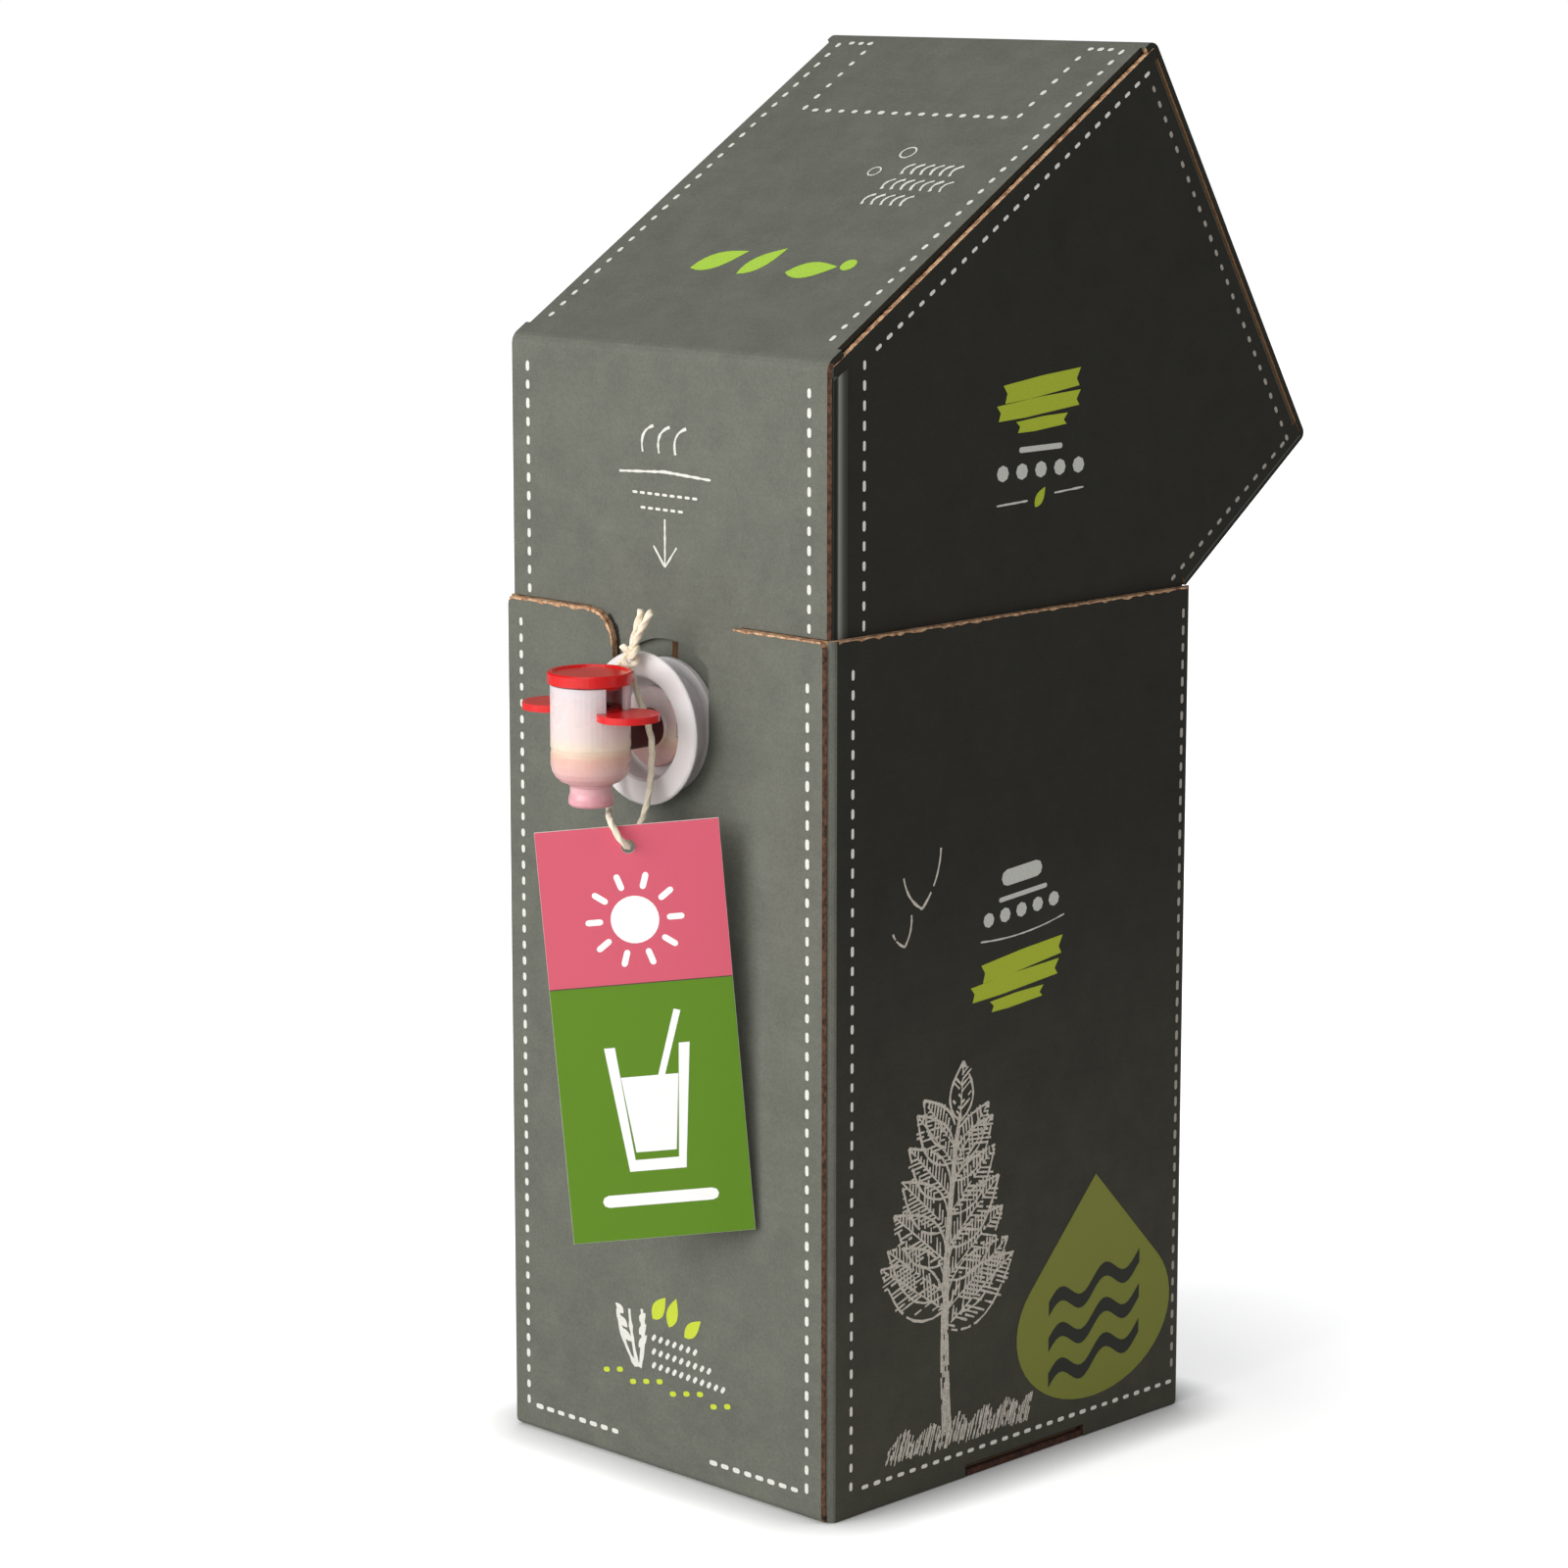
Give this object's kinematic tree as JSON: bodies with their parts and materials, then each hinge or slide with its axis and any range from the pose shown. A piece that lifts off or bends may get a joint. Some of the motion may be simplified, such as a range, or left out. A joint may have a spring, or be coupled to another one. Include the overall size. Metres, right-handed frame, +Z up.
{
  "type": "boxed syrup pack with tap",
  "caption": "Folded carton with a tilted head on an open stand, a sealed syrup bag inside, and a squeeze-lift tap on the front with a hanging card tag.",
  "frame": {"origin": "centre of the lower carton's base, on the surface it stands on", "axes": "+Z up, -Y towards the front with the tap, +X to the right as seen from the front"},
  "size_m": [0.12, 0.2326, 0.3748],
  "materials": {
    "board": "printed, slight sheen",
    "film": "soft film",
    "white_plastic": "moulded",
    "cloudy_plastic": "cloudy, lets light through",
    "red_plastic": "moulded",
    "seal_rubber": "matte",
    "spring_steel": "drawn wire",
    "tag_card": "printed matte card",
    "cotton": "twisted cord"
  },
  "bodies": {
    "box": {"lower_carton": "board", "upper_carton": "board", "syrup_bag": "film", "gland": "white_plastic", "tap_body": "cloudy_plastic", "tap_cap": "red_plastic", "return_spring": "spring_steel", "tap_o_ring": "seal_rubber", "hang_tag": "tag_card", "tag_cord": "cotton", "cord_knot": "cotton"},
    "fingers": {"finger_wings": "red_plastic", "valve_seal": "seal_rubber"}
  },
  "joints": [
    {"name": "wings_lift", "type": "slide", "parent": "box", "child": "fingers", "axis": [0, 0, 1], "range_m": [0, 0.0045], "stiffness_N_per_m": 800, "springref_m": -0.002, "deforming": ["return_spring"]}
  ]
}
